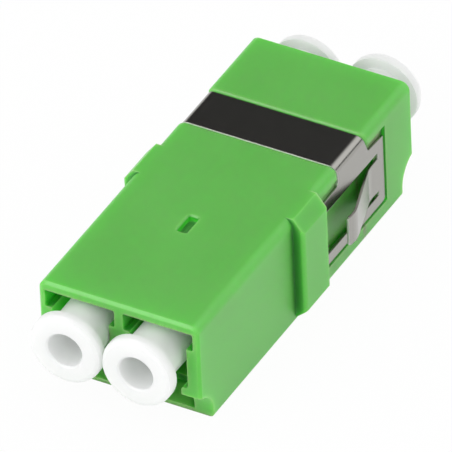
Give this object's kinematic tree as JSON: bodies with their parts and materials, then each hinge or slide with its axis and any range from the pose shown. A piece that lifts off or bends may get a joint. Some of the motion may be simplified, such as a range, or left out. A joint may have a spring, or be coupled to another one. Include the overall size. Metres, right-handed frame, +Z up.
{
  "type": "duplex fiber coupler",
  "caption": "Flangeless duplex fiber coupler with a moulded body, a spring steel panel clip and pull-out dust caps in its plug ports.",
  "frame": {"origin": "on the rest face, under the middle of the body", "axes": "+Z up from the rest face, Y along the plug axes with the near ports at -Y, X across the two ports"},
  "size_m": [0.0154, 0.0373, 0.0092],
  "materials": {
    "green_moulding": "satin, as moulded",
    "clip_steel": "rolled stainless sheet",
    "cap_plastic": "soft translucent white",
    "holder_plastic": "satin, as moulded",
    "zirconia": "ground ceramic"
  },
  "bodies": {
    "coupler": {"front_housing": "green_moulding", "rear_housing": "green_moulding", "panel_clip": "clip_steel", "sleeve_holder_front": "holder_plastic", "sleeve_holder_rear": "holder_plastic", "split_sleeve_left": "zirconia", "split_sleeve_right": "zirconia"},
    "cap_front_left": {"dust_cap_front_left": "cap_plastic"},
    "cap_front_right": {"dust_cap_front_right": "cap_plastic"},
    "cap_rear_left": {"dust_cap_rear_left": "cap_plastic"},
    "cap_rear_right": {"dust_cap_rear_right": "cap_plastic"}
  },
  "joints": [
    {"name": "front_left_cap_pull", "type": "slide", "parent": "coupler", "child": "cap_front_left", "axis": [0, -1, 0], "range_m": [0, 0.016]},
    {"name": "front_right_cap_pull", "type": "slide", "parent": "coupler", "child": "cap_front_right", "axis": [0, -1, 0], "range_m": [0, 0.016]},
    {"name": "rear_left_cap_pull", "type": "slide", "parent": "coupler", "child": "cap_rear_left", "axis": [0, 1, 0], "range_m": [0, 0.016]},
    {"name": "rear_right_cap_pull", "type": "slide", "parent": "coupler", "child": "cap_rear_right", "axis": [0, 1, 0], "range_m": [0, 0.016]}
  ]
}
